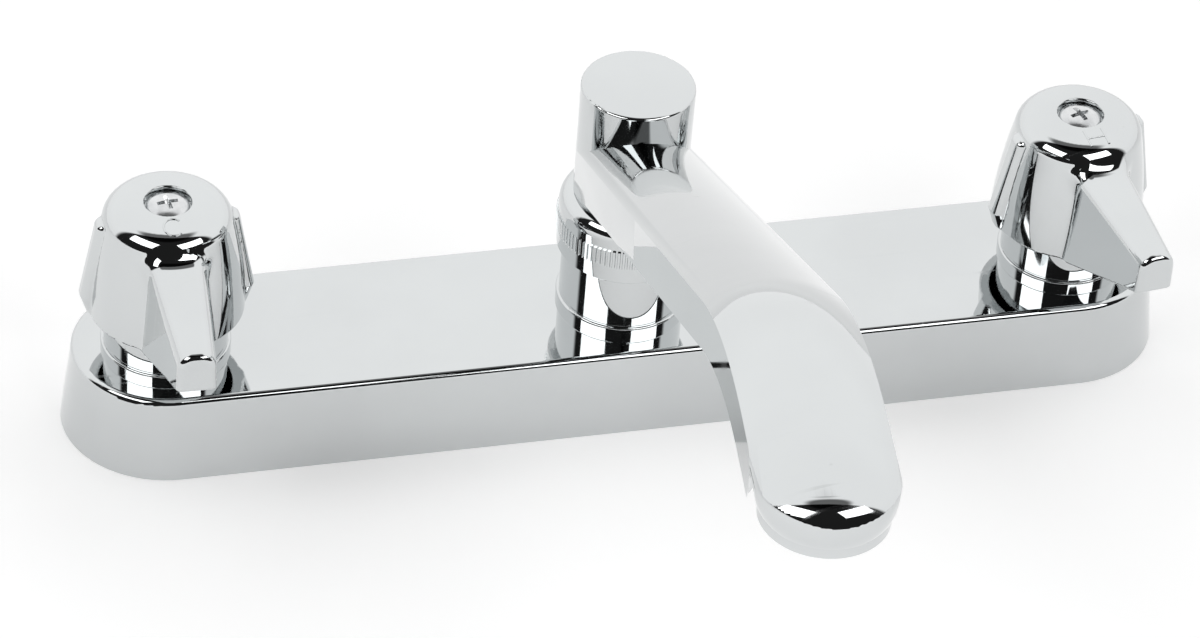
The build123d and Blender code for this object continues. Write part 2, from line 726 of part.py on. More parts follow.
with BuildPart() as arm:
    arm_line = arm_path(-post_radius, spout_reach + arm_overrun)
    with BuildSketch(across(arm_line)) as arm_section:
        with BuildLine():
            crown_edge = arm_sag - crown_drop
            belly_edge = -arm_side - belly_sag + belly_drop
            ThreePointArc((-blank_half_width, crown_edge), (0, arm_sag), (blank_half_width, crown_edge))
            Line((blank_half_width, crown_edge), (blank_half_width, belly_edge))
            ThreePointArc(
                (blank_half_width, belly_edge),
                (0, -arm_side - belly_sag),
                (-blank_half_width, belly_edge),
            )
            Line((-blank_half_width, belly_edge), (-blank_half_width, crown_edge))
        make_face()
    sweep(arm_section.sketch, path=arm_line)
    with BuildSketch(Plane.XY.offset(spout_bottom)) as plan_outline:
        with BuildLine():
            CenterArc((0, 0), post_radius, 0, 360)
            CenterArc((0, -spout_reach), nose_radius, 0, 360)
        make_hull()
    extrude(plan_outline.sketch, amount=spout_reach, mode=Mode.INTERSECT)
    # the top rolls over the front of the nose
    with BuildSketch(side_view) as profile:
        with BuildLine():
            crown_height = nose_edge_height + arm_sag / math.cos(math.radians(arm_droop)) + skim
            front_top = crown_height - nose_radius * droop_slope
            rear_top = crown_height + (spout_reach + post_radius) * droop_slope
            Line((-post_radius, spout_bottom), (nose_front, spout_bottom))
            Line((nose_front, spout_bottom), (nose_front, front_top))
            Line((nose_front, front_top), (-post_radius, rear_top))
            Line((-post_radius, rear_top), (-post_radius, spout_bottom))
        make_face()
        fillet(profile.vertices().group_by(Axis.X)[-1].sort_by(Axis.Y)[-1], nose_edge_radius)
    extrude(profile.sketch, amount=2 * nose_radius, both=True, mode=Mode.INTERSECT)

seal_ring_radius = tail_radius - seal_depth + seal_section
seal_groove_half = seal_section + running_fit
lower_seal_height = tail_bottom + seal_pitch
upper_seal_height = lower_seal_height + seal_pitch
ring_groove_radius = tail_radius - split_ring_depth

with BuildPart() as passage:
    passage_line = arm_path(0, spout_reach)
    with BuildSketch(across(passage_line)) as passage_section:
        with Locations((0, (arm_sag - arm_side - belly_sag) / 2)):
            SlotOverall(arm_passage_width, arm_passage_height)
    sweep(passage_section.sketch, path=passage_line)
    split(bisect_by=Plane.XZ.offset(passage_end), keep=Keep.BOTTOM)

with BuildPart() as spout_form:
    turn(
        (tail_bore_radius, tail_bottom),
        (tail_radius, tail_bottom),
        (tail_radius, split_ring_bottom - running_fit),
        (ring_groove_radius, split_ring_bottom - running_fit),
        (ring_groove_radius, split_ring_top + running_fit),
        (tail_radius, split_ring_top + running_fit),
        (tail_radius, spout_bottom),
        (post_radius, spout_bottom),
        (post_radius, post_top),
        (0, post_top),
        (0, edge_height),
        (tail_bore_radius, edge_height),
    )
    for seal_height in (lower_seal_height, upper_seal_height):
        turn(
            (tail_radius - seal_depth, seal_height - seal_groove_half),
            (tail_radius + cut_margin, seal_height - seal_groove_half),
            (tail_radius + cut_margin, seal_height + seal_groove_half),
            (tail_radius - seal_depth, seal_height + seal_groove_half),
            mode=Mode.SUBTRACT,
        )
    rim = spout_form.edges().filter_by(GeomType.CIRCLE).group_by(Axis.Z)[-1]
    fillet(rim, post_edge_radius)
    add(arm.part)
    # waterway: up the post, along the arm, over the aerator and out
    with BuildSketch(Plane.XY.offset(spout_bottom)):
        Circle(tail_bore_radius)
    extrude(amount=edge_height - spout_bottom, mode=Mode.SUBTRACT)
    add(passage.part, mode=Mode.SUBTRACT)
    with BuildSketch(Plane.XY.offset(boss_bottom)):
        with Locations((0, -spout_reach)):
            Circle(aerator_thread_radius + thread_fit)
    extrude(amount=outlet_bore_top - boss_bottom, mode=Mode.SUBTRACT)
    with BuildSketch(Plane.XY.offset(outlet_bore_top)):
        throat_back = passage_end - throat_width
        throat_front = spout_reach + throat_width / 2
        with Locations((0, -(throat_back + throat_front) / 2)):
            SlotOverall(throat_front - throat_back, throat_width, rotation=90)
    extrude(amount=throat_height, mode=Mode.SUBTRACT)
    # the lower rim of the nose draws in around the aerator
    cup_top = (nose_front, boss_bottom + nose_cup_height)
    cup_bottom = (nose_front - nose_cup_tuck, boss_bottom)
    with BuildSketch(side_view) as around_nose:
        with BuildLine():
            TangentArc(cup_top, cup_bottom, tangent=(0, -1))
            Polyline(
                cup_bottom,
                (spout_reach, boss_bottom),
                (spout_reach, boss_bottom - nose_radius),
                (nose_front + cut_margin, boss_bottom - nose_radius),
                (nose_front + cut_margin, boss_bottom + nose_cup_height),
                cup_top,
            )
        make_face()
    revolve(around_nose.sketch, axis=Axis((0, -spout_reach, 0), (0, 0, 1)), mode=Mode.SUBTRACT)

with BuildPart() as split_ring:
    tube(split_ring_radius, ring_groove_radius + thread_fit, split_ring_bottom, split_ring_top)
    gap_cutter(split_ring_mouth, split_ring_radius + cut_margin, split_ring_bottom, split_ring_top)

with BuildPart() as o_rings:
    torus(seal_ring_radius, seal_section - thread_fit / 2, lower_seal_height)
    torus(seal_ring_radius, seal_section - thread_fit / 2, upper_seal_height)

# ================================================================ aerator
housing_top = boss_bottom + aerator_thread_length
insert_bottom = outlet_height + aerator_lip_height

with BuildPart() as housing_form:
    turn(
        (aerator_lip_radius, outlet_height),
        (aerator_flange_radius, outlet_height),
        (aerator_flange_radius, boss_bottom),
        (aerator_thread_radius, boss_bottom),
        (aerator_thread_radius, housing_top),
        (aerator_bore_radius, housing_top),
        (aerator_bore_radius, insert_bottom),
        (aerator_lip_radius, insert_bottom),
    )

with BuildPart() as insert_form:
    with BuildSketch(Plane.XY.offset(insert_bottom)):
        Circle(aerator_bore_radius - thread_fit)
        with PolarLocations(aerator_inner_row_radius, aerator_inner_row_holes):
            Circle(aerator_hole_radius, mode=Mode.SUBTRACT)
        with PolarLocations(aerator_outer_row_radius, aerator_outer_row_holes):
            Circle(aerator_hole_radius, mode=Mode.SUBTRACT)
    extrude(amount=housing_top - insert_bottom)

with BuildPart() as washer_form:
    tube(aerator_thread_radius - thread_fit, aerator_washer_hole_radius, housing_top, outlet_bore_top)

place(spout_form, "spout", 0, spout_yaw)
place(split_ring, "spout_split_ring", 0, spout_yaw)
place(o_rings, "spout_o_rings", 0, spout_yaw)
outlet_x = spout_reach * math.sin(math.radians(spout_yaw))
outlet_y = -spout_reach * math.cos(math.radians(spout_yaw))
for form, name in (
    (housing_form, "aerator_housing"),
    (insert_form, "aerator_insert"),
    (washer_form, "aerator_washer"),
):
    place(form, name, outlet_x, spout_yaw, outlet_y)
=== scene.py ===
"""Two handle kitchen faucet in polished chrome, on a pale floor in soft studio light."""
import json
import math

import bmesh
import bpy
import numpy as np
from mathutils import Matrix, Vector


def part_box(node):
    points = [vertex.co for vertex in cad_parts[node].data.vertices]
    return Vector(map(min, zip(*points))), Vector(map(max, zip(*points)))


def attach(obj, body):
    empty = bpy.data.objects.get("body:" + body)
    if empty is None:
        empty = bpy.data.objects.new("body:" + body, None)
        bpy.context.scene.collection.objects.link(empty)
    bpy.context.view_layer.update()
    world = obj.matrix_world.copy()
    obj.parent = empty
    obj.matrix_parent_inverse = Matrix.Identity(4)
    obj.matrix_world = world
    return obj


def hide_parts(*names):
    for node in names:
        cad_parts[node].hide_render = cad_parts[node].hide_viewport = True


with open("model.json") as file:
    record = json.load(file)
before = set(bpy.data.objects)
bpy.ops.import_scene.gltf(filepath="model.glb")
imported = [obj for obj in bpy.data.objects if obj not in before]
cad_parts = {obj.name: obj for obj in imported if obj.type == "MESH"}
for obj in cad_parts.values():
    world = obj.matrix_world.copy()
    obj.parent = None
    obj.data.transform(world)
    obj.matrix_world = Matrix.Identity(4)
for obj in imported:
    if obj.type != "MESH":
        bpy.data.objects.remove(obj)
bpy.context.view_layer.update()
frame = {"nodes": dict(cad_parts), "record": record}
nodes = frame["nodes"]
collection = bpy.context.scene.collection
MM = 0.001
WHITE = (1, 1, 1, 1)


def add_object(name, data):
    """A new object of the scene."""
    made = bpy.data.objects.new(name, data)
    collection.objects.link(made)
    return made


# ---------------------------------------------------------------- camera, as solved from the photo
PHOTO_WIDTH = 1200
PHOTO_HEIGHT = 638
SENSOR_WIDTH = 36.0
AZIMUTH = math.radians(15.17)
ELEVATION = math.radians(39.41)
ROLL = math.radians(3.94)
DISTANCE = 1.1608
FOCAL_PIXELS = 5287.7
CENTRE_PIXELS = (506.7, 307.3)      # where the camera's axis meets the photo
TARGET = Vector((-0.0258, -0.0002, 0.020))

forward = Vector((
    math.sin(AZIMUTH) * math.cos(ELEVATION),
    math.cos(AZIMUTH) * math.cos(ELEVATION),
    -math.sin(ELEVATION),
))
level_right = Vector((math.cos(AZIMUTH), -math.sin(AZIMUTH), 0.0))
level_up = level_right.cross(forward)
right = math.cos(ROLL) * level_right + math.sin(ROLL) * level_up
up = -math.sin(ROLL) * level_right + math.cos(ROLL) * level_up
camera_data = bpy.data.cameras.new("camera")
camera = add_object("camera", camera_data)
bpy.context.scene.camera = camera
camera.matrix_world = Matrix.Translation(TARGET - forward * DISTANCE) @ Matrix((
    (right.x, up.x, -forward.x, 0),
    (right.y, up.y, -forward.y, 0),
    (right.z, up.z, -forward.z, 0),
    (0, 0, 0, 1),
))
camera_data.sensor_fit = "HORIZONTAL"
camera_data.sensor_width = SENSOR_WIDTH
camera_data.lens = FOCAL_PIXELS / PHOTO_WIDTH * SENSOR_WIDTH
camera_data.shift_x = (PHOTO_WIDTH / 2 - CENTRE_PIXELS[0]) / PHOTO_WIDTH
camera_data.shift_y = (CENTRE_PIXELS[1] - PHOTO_HEIGHT / 2) / PHOTO_WIDTH
camera_data.clip_start = 0.01
camera_data.clip_end = 50


# ---------------------------------------------------------------- node trees
class Tree:
    """Node tree of a material or of the world, with the kinds of node that repeat here."""

    def __init__(self, owner, output_kind):
        owner.use_nodes = True
        self.tree = owner.node_tree
        self.tree.nodes.clear()
        self.output = self.node(output_kind)

    def fill(self, node, inputs):
        """Set inputs of a node, each to a value or to the output of another node."""
        for name, value in inputs.items():
            if isinstance(value, bpy.types.NodeSocket):
                self.tree.links.new(value, node.inputs[name])
            else:
                node.inputs[name].default_value = value
        return node

    def node(self, kind, inputs=None):
        """A new node with these inputs."""
        return self.fill(self.tree.nodes.new(f"ShaderNode{kind}"), inputs or {})

    def calculate(self, operation, first, second):
        """Sum, product or larger one of two values."""
        node = self.node("Math", {0: first, 1: second})
        node.operation = operation
        return node.outputs["Value"]

    def vector(self, operation, operands):
        """Outputs of a calculation with vectors."""
        node = self.node("VectorMath", dict(enumerate(operands)))
        node.operation = operation
        return node.outputs

    def ranged(self, value, source, result):
        """A value mapped smoothly from one range to another, held at both ends."""
        mapped = self.node("MapRange", {
            "Value": value,
            "From Min": source[0],
            "From Max": source[1],
            "To Min": result[0],
            "To Max": result[1],
        })
        mapped.interpolation_type = "SMOOTHSTEP"
        return mapped.outputs["Result"]


class Surface(Tree):
    """A material: one Principled shader and the node chains that colour, roughen and bump it."""

    def __init__(self, name, metallic, colour, roughness):
        self.material = bpy.data.materials.new(name)
        super().__init__(self.material, "OutputMaterial")
        self.shader = self.node("BsdfPrincipled", {
            "Metallic": metallic,
            "Base Color": (*colour, 1),
            "Roughness": roughness,
        })
        self.fill(self.output, {"Surface": self.shader.outputs["BSDF"]})
        self.place = self.node("TexCoord").outputs["Object"]

    def noise(self, scale, detail=4.0, stretch=(1, 1, 1), turn=(0, 0, 0), spread=0.5):
        """Noise over the object's own coordinates, in cycles per metre."""
        mapping = self.node("Mapping", {"Vector": self.place, "Scale": stretch, "Rotation": turn})
        noise = self.node("TexNoise", {
            "Vector": mapping.outputs["Vector"],
            "Scale": scale,
            "Detail": detail,
            "Roughness": spread,
        })
        return noise.outputs["Fac"]

    def tint(self, value, first, last):
        """Base colour that runs from one tone to another."""
        mix = self.tree.nodes.new("ShaderNodeMix")
        mix.data_type = "RGBA"
        self.fill(mix, {"Factor": value, "A": (*first, 1), "B": (*last, 1)})
        self.fill(self.shader, {"Base Color": mix.outputs["Result"]})

    def rough(self, value):
        """Roughness that follows a value."""
        self.fill(self.shader, {"Roughness": value})

    def bump(self, height, depth):
        """Fine relief, its depth in metres."""
        relief = self.node("Bump", {"Height": height, "Distance": depth})
        self.fill(self.shader, {"Normal": relief.outputs["Normal"]})


# ---------------------------------------------------------------- materials
def polished_chrome():
    """Mirror plating with faint haze, a few wipe scratches and pin specks."""
    surface = Surface("polished_chrome", metallic=1.0, colour=(0.60, 0.615, 0.62), roughness=0.04)
    haze = surface.ranged(surface.noise(30, detail=5), (0.30, 0.75), (0.0, 1.0))
    surface.tint(haze, (0.610, 0.628, 0.632), (0.582, 0.598, 0.603))
    film = surface.ranged(surface.noise(75, detail=8, spread=0.65), (0.40, 0.80), (0.030, 0.085))
    wipes = surface.noise(24, detail=3, stretch=(1, 22, 1), turn=(0, 0, 0.9))
    scratches = surface.ranged(wipes, (0.665, 0.70), (0.0, 0.10))
    specks = surface.ranged(surface.noise(420, detail=2), (0.76, 0.80), (0.0, 0.18))
    surface.rough(surface.calculate("ADD", surface.calculate("ADD", film, scratches), specks))
    surface.bump(surface.noise(16, detail=1), depth=0.00012)
    return surface.material


def turned_brass(name, light, dark):
    """Machined metal with fine turning marks and a little tarnish."""
    surface = Surface(name, metallic=1.0, colour=light, roughness=0.3)
    tarnish = surface.noise(130, detail=6)
    surface.tint(surface.ranged(tarnish, (0.35, 0.7), (0, 1)), light, dark)
    marks = surface.noise(60, detail=3, stretch=(1, 1, 60))
    wear = surface.calculate("ADD", marks, tarnish)
    surface.rough(surface.ranged(wear, (0.7, 1.3), (0.20, 0.42)))
    surface.bump(marks, depth=0.00005)
    return surface.material


def satin_steel():
    """Cold formed stainless steel with a satin grain."""
    surface = Surface("stainless_steel", metallic=1.0, colour=(0.60, 0.61, 0.615), roughness=0.25)
    grain = surface.noise(900, detail=3)
    cloud = surface.ranged(surface.noise(200), (0.3, 0.7), (0, 1))
    surface.tint(cloud, (0.66, 0.67, 0.675), (0.52, 0.53, 0.54))
    surface.rough(surface.ranged(grain, (0.3, 0.7), (0.12, 0.26)))
    surface.bump(grain, depth=0.00002)
    return surface.material


def soft_material(name, dark, light, roughness, grain_scale, grain_depth):
    """Rubber or plastic with a fine moulded grain and uneven sheen."""
    surface = Surface(name, metallic=0.0, colour=light, roughness=roughness)
    patches = surface.noise(160, detail=5)
    surface.tint(surface.ranged(patches, (0.3, 0.7), (0, 1)), dark, light)
    grain = surface.noise(grain_scale, detail=3)
    sheen = (roughness * 0.85, min(1.0, roughness * 1.2))
    surface.rough(surface.ranged(grain, (0.3, 0.7), sheen))
    surface.bump(grain, grain_depth)
    return surface.material


finishes = {
    "polished_chrome": polished_chrome(),
    "brass": turned_brass("brass", (0.72, 0.54, 0.27), (0.55, 0.38, 0.17)),
    "copper": turned_brass("copper", (0.74, 0.41, 0.28), (0.55, 0.27, 0.17)),
    "stainless_steel": satin_steel(),
    "rubber": soft_material("rubber", (0.012, 0.012, 0.012), (0.03, 0.03, 0.03), 0.6, 2600, 0.00003),
    "gasket_plastic": soft_material(
        "gasket_plastic", (0.05, 0.05, 0.055), (0.08, 0.08, 0.085), 0.5, 1800, 0.00003
    ),
    "white_plastic": soft_material(
        "white_plastic", (0.74, 0.74, 0.72), (0.84, 0.84, 0.82), 0.3, 1500, 0.00001
    ),
}
for subpart in frame["record"]["subparts"]:
    node = nodes[subpart["node"]]
    node.data.materials.clear()
    node.data.materials.append(finishes[subpart["material_slot"]])


# ---------------------------------------------------------------- mesh tools
def plain_mesh(solid):
    """A bmesh as a plain mesh with its faces turned outward."""
    bmesh.ops.recalc_face_normals(solid, faces=solid.faces)
    mesh = bpy.data.meshes.new("mesh")
    solid.to_mesh(mesh)
    solid.free()
    return mesh


def finish_mesh(name, mesh, slot, body, smooth_angle):
    """Make a piece of a mesh, give it its finish and its body."""
    mesh.name = name
    mesh.materials.clear()
    mesh.materials.append(finishes[slot])
    mesh.polygons.foreach_set("use_smooth", [True] * len(mesh.polygons))
    mesh.set_sharp_from_angle(angle=math.radians(smooth_angle))
    piece = add_object(name, mesh)
    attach(piece, body)
    return piece


def lathe(solid, profile, axis, steps=72):
    """Revolve (radius, height) points about an upright axis, closed on the axis at both ends."""
    rings = []
    for radius, height in profile:
        turns = [2 * math.pi * step / steps for step in range(steps if radius else 1)]
        rings.append([
            solid.verts.new((axis.x + radius * math.cos(turn), axis.y + radius * math.sin(turn), height))
            for turn in turns
        ])
    for lower, upper in zip(rings, rings[1:]):
        for step in range(steps):
            after = (step + 1) % steps
            corners = (
                lower[step % len(lower)],
                lower[after % len(lower)],
                upper[after % len(upper)],
                upper[step % len(upper)],
            )
            solid.faces.new(tuple(dict.fromkeys(corners)))


def loft(solid, outlines):
    """A closed solid through a row of outlines with the same number of corners."""
    rings = [[solid.verts.new(point) for point in outline] for outline in outlines]
    solid.faces.new(reversed(rings[0]))
    solid.faces.new(rings[-1])
    for lower, upper in zip(rings, rings[1:]):
        for index in range(len(lower)):
            after = (index + 1) % len(lower)
            solid.faces.new((lower[index], lower[after], upper[after], upper[index]))


def cut_away(solid, cutter):
    """The first bmesh less the second, as a plain mesh."""
    blank, knife = [add_object("blank", plain_mesh(shape)) for shape in (solid, cutter)]
    boolean = blank.modifiers.new("cut", "BOOLEAN")
    boolean.operation = "DIFFERENCE"
    boolean.solver = "EXACT"
    boolean.use_self = True
    boolean.object = knife
    bpy.context.view_layer.update()
    evaluated = blank.evaluated_get(bpy.context.evaluated_depsgraph_get())
    result = bpy.data.meshes.new_from_object(evaluated)
    for used in (blank, knife):
        bpy.data.objects.remove(used)
    return result


# ---------------------------------------------------------------- blended forms
SKIN_PASSES = 4         # times that each point is moved onto the surface
SKIN_NUDGE = 1e-3       # step over which the slope of a field is measured
SKIN_FLATTEST = 0.2     # least squared slope that a move is divided by


def round_join(first, second, radius):
    """Distance field of two forms together, with a concave fillet where they meet."""
    near = np.hypot(np.maximum(radius - first, 0), np.maximum(radius - second, 0))
    return np.maximum(radius, np.minimum(first, second)) - near


def round_common(first, second, radius):
    """Distance field of what two forms share, with a rounded edge where they meet."""
    near = np.hypot(np.maximum(radius + first, 0), np.maximum(radius + second, 0))
    return np.minimum(-radius, np.maximum(first, second)) + near


def field_slope(field, points):
    """How a field changes along x, y and z at each point."""
    nudges = SKIN_NUDGE * np.eye(3)
    rises = [field(*(points + nudge).T) - field(*(points - nudge).T) for nudge in nudges]
    return np.stack(rises, axis=1) / (2 * SKIN_NUDGE)


def skin(field, low, high, cell):
    """Points, their normals and four-sided faces of the surface where a distance field is zero.

    Each cell of a grid that the surface passes through gets one point, and each grid edge that it
    crosses gets a face through the points of the four cells around that edge.
    """
    steps = [np.arange(start, end + cell, cell) for start, end in zip(low, high)]
    values = field(*np.meshgrid(*steps, indexing="ij"))
    total = np.zeros((*values.shape, 3))
    count = np.zeros(values.shape)
    crossings = []
    for axis in range(3):
        ahead = np.roll(values, -1, axis)
        crossed = (values < 0) != (ahead < 0)
        edges = np.argwhere(crossed)
        here = values[crossed]
        spots = edges.astype(float)
        spots[:, axis] += here / (here - ahead[crossed])
        across = np.eye(3, dtype=int)[[(axis + 1) % 3, (axis + 2) % 3]]
        cells = [
            edges - first * across[0] - second * across[1]
            for first, second in ((0, 0), (1, 0), (1, 1), (0, 1))
        ]
        for beside in cells:
            np.add.at(total, tuple(beside.T), spots)
            np.add.at(count, tuple(beside.T), 1)
        crossings.append((cells, here < 0))
    used = tuple(np.argwhere(count > 0).T)
    number = np.full(values.shape, -1)
    number[used] = np.arange(len(used[0]))
    points = low + total[used] / count[used][:, None] * cell
    for _ in range(SKIN_PASSES):
        value = field(*points.T)
        slope = field_slope(field, points)
        points -= (value / np.maximum((slope**2).sum(axis=1), SKIN_FLATTEST))[:, None] * slope
    slope /= np.linalg.norm(slope, axis=1)[:, None]
    faces = []
    for cells, outward in crossings:
        ring = np.stack([number[tuple(beside.T)] for beside in cells], axis=1)
        ring[outward] = ring[outward][:, ::-1]
        faces.extend(ring.tolist())
    return points, slope, faces


# ---------------------------------------------------------------- handles, in mm above the skirt's edge
LEVER_YAWS = {"cold": math.radians(-1.6), "hot": math.radians(6.5)}     # as in the photo
HANDLE_HEIGHT = 28.1
SKIRT_RADIUS = 16.9
SHOULDER_HEIGHT = 23.8
SHOULDER_RADIUS = 2.8
SIDE_TOP_RADIUS = 14.0
SIDE_BULGE = 0.5
CROWN = 0.9                 # fall of the domed top from its middle to CROWN_REACH
CROWN_REACH = 10.6
RIM_ROUND = 0.35
RIB_HALF_WIDTH = 2.5
RIB_TOP_REACH = 15.4
RIB_BELLY_REACH = 18.9
RIB_BELLY_HEIGHT = 4.6
RIB_FOOT_REACH = 17.4
RIB_ROUND = 1.9
RIB_TOP_ROUND = 1.2
RIB_JOIN = 0.5
LEVER_REACH = 44.0
LEVER_START = 8.0
LEVER_TOP = 22.6            # height of the flat top where the lever starts
LEVER_TIP_TOP = 21.2
LEVER_TIP_FOOT = 12.0
LEVER_HALF_WIDTHS = (6.1, 3.95)     # along the top, at the start and at the tip
LEVER_HALF_FEET = (8.4, 4.5)        # the same at the height of the skirt
LEVER_ROUNDS = (2.2, 3.3)           # of the back's edges, at the start and at the tip
LEVER_TIP_ROUND = 1.3
LEVER_FOOT_ROUND = 0.5
FLANK_JOIN = 1.0            # radius that blends the lever's sides into the body
SADDLE_JOIN = 2.7           # radius that blends the lever's top into the shoulder
JOIN_DEPTHS = (7.0, 2.0)    # below the shoulder, between which one radius grows into the other
RECESS_RADIUS = 5.1
RECESS_FLOOR = 25.9
SCREW_HOLE_RADIUS = 2.3
SOCKET_FOOT = 11.6
SOCKET_TOP = 20.9
SOCKET_HALF_WIDTH = 2.75
CAVITY_RADIUS = 14.6
CAVITY_STRAIGHT = 5.3
CAVITY_TOP_RADIUS = 12.4
CAVITY_ROOF = 14.0
HANDLE_HUB_RADIUS = 5.8
CUT_OVERLAP = 1.0           # how far the hollows run into each other
SKIN_LOW = (-20.0, -20.0, -1.0)     # across, ahead and up
SKIN_HIGH = (20.0, 45.5, 29.5)
SKIN_CELL = 0.45


def line(value, start, end, first, last):
    """Straight run from first to last while the value goes from start to end, held beyond them."""
    return first + (last - first) * np.clip((value - start) / (end - start), 0, 1)


def lever_field(across, ahead, height):
    """Tapered lever with a rounded back, its foot rising from the skirt to the tip."""
    top = LEVER_TOP + (LEVER_TIP_TOP - LEVER_TOP) * (ahead - LEVER_START) / (LEVER_REACH - LEVER_START)
    run = (LEVER_START, LEVER_REACH)
    half_width = line(ahead, *run, *LEVER_HALF_WIDTHS)
    half_foot = line(ahead, *run, *LEVER_HALF_FEET)
    side = np.abs(across) - half_foot - (half_width - half_foot) * height / top
    foot_rise = LEVER_TIP_FOOT / (LEVER_REACH - SKIRT_RADIUS)
    foot = ((ahead - SKIRT_RADIUS) * foot_rise - height) / math.hypot(1, foot_rise)
    back = round_common(height - top, side, line(ahead, *run, *LEVER_ROUNDS))
    tip = round_common(back, ahead - LEVER_REACH, LEVER_TIP_ROUND)
    return np.maximum(round_common(tip, foot, LEVER_FOOT_ROUND), -ahead)


def rib_field(across, ahead, height):
    """Upright finger rib, widest a little above its foot."""
    reach = np.where(
        height > RIB_BELLY_HEIGHT,
        line(height, RIB_BELLY_HEIGHT, SHOULDER_HEIGHT, RIB_BELLY_REACH, RIB_TOP_REACH),
        line(height, 0, RIB_BELLY_HEIGHT, RIB_FOOT_REACH, RIB_BELLY_REACH),
    )
    edge = round_common(np.abs(across) - RIB_HALF_WIDTH, ahead - reach, RIB_ROUND)
    return np.maximum(round_common(edge, height - SHOULDER_HEIGHT, RIB_TOP_ROUND), -ahead)


def hollow_field(across, ahead, height):
    """What is cut out of the handle: the screw's recess and hole, the socket and the skirt's cavity."""
    radius = np.hypot(across, ahead)
    wall = line(height, CAVITY_STRAIGHT, CAVITY_ROOF, CAVITY_RADIUS, CAVITY_TOP_RADIUS)
    cavity = np.maximum(radius - wall, height - CAVITY_ROOF)
    hub = np.maximum(radius - HANDLE_HUB_RADIUS, SOCKET_FOOT - height)
    square = np.maximum(np.abs(across), np.abs(ahead)) - SOCKET_HALF_WIDTH
    socket_ends = np.maximum(height - SOCKET_TOP, SOCKET_FOOT - CUT_OVERLAP - height)
    socket = np.maximum(square, socket_ends)
    hole = np.maximum(radius - SCREW_HOLE_RADIUS, SOCKET_TOP - CUT_OVERLAP - height)
    recess = np.maximum(radius - RECESS_RADIUS, RECESS_FLOOR - height)
    below = np.minimum(np.maximum(cavity, -hub), socket)
    return np.minimum(below, np.minimum(hole, recess))


def handle_field(across, ahead, height):
    """The whole handle, with one rib behind and one at each side."""
    radius = np.hypot(across, ahead)
    share = height / SHOULDER_HEIGHT
    side_radius = SKIRT_RADIUS + (SIDE_TOP_RADIUS - SKIRT_RADIUS) * share
    side_radius = side_radius + 4 * SIDE_BULGE * share * (1 - share)
    crown = height - HANDLE_HEIGHT + CROWN * (radius / CROWN_REACH)**2
    body = round_common(radius - side_radius, crown, SHOULDER_RADIUS)
    for turned in ((ahead, across), (-across, -ahead), (-ahead, -across)):
        body = round_join(body, rib_field(*turned, height), RIB_JOIN)
    join_heights = [SHOULDER_HEIGHT - depth for depth in JOIN_DEPTHS]
    join = line(height, *join_heights, FLANK_JOIN, SADDLE_JOIN)
    whole = round_join(body, lever_field(across, ahead, height), join)
    solid = round_common(whole, -height, RIM_ROUND)
    return round_common(solid, -hollow_field(across, ahead, height), RIM_ROUND)


def handle_axis(side):
    """Where the axis of a handle, and of its screw, meets the deck."""
    low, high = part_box(f"{side}_handle_screw")
    return Vector(((low.x + high.x) / 2, (low.y + high.y) / 2, 0))


def canopy_handle(side):
    """Handle whose lever flows into the shoulder, in place of the plain one."""
    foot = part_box(f"{side}_handle")[0].z
    axis = handle_axis(side) + Vector((0, 0, foot))
    spot = Matrix.Translation(axis) @ Matrix.Rotation(LEVER_YAWS[side], 4, "Z")
    points, slopes, faces = skin(handle_field, SKIN_LOW, SKIN_HIGH, SKIN_CELL)
    mesh = bpy.data.meshes.new("handle")
    mesh.from_pydata([spot @ Vector((x * MM, -y * MM, z * MM)) for x, y, z in points.tolist()], [], faces)
    piece = finish_mesh(
        f"{side}_canopy_handle", mesh, "polished_chrome", f"{side}_handle_set", smooth_angle=180
    )
    normals = [spot.to_3x3() @ Vector((x, -y, z)) for x, y, z in slopes.tolist()]
    mesh.normals_split_custom_set_from_vertices(normals)
    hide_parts(f"{side}_handle")


# ---------------------------------------------------------------- handle screws
SCREW_HEAD_HEIGHT = 1.8 * MM
SCREW_WALL_HEIGHT = 0.35 * SCREW_HEAD_HEIGHT    # of the head's upright edge, below its dome
SCREW_DOME_STEPS = 12
SCREW_SHANK_RADIUS = 2.0 * MM
SCREW_TURN = math.radians(8)                    # of the cross, from the lever's direction
CROSS_SPAN = 5.4 * MM
CROSS_WIDTH = 1.15 * MM
CROSS_DEPTH = 1.5 * MM
CROSS_FLOOR = (0.35, 0.55)                      # span and width at the bottom, as shares of the top's
CROSS_CUT_RISE = 0.2 * MM                       # how far the cutter stands out of the head


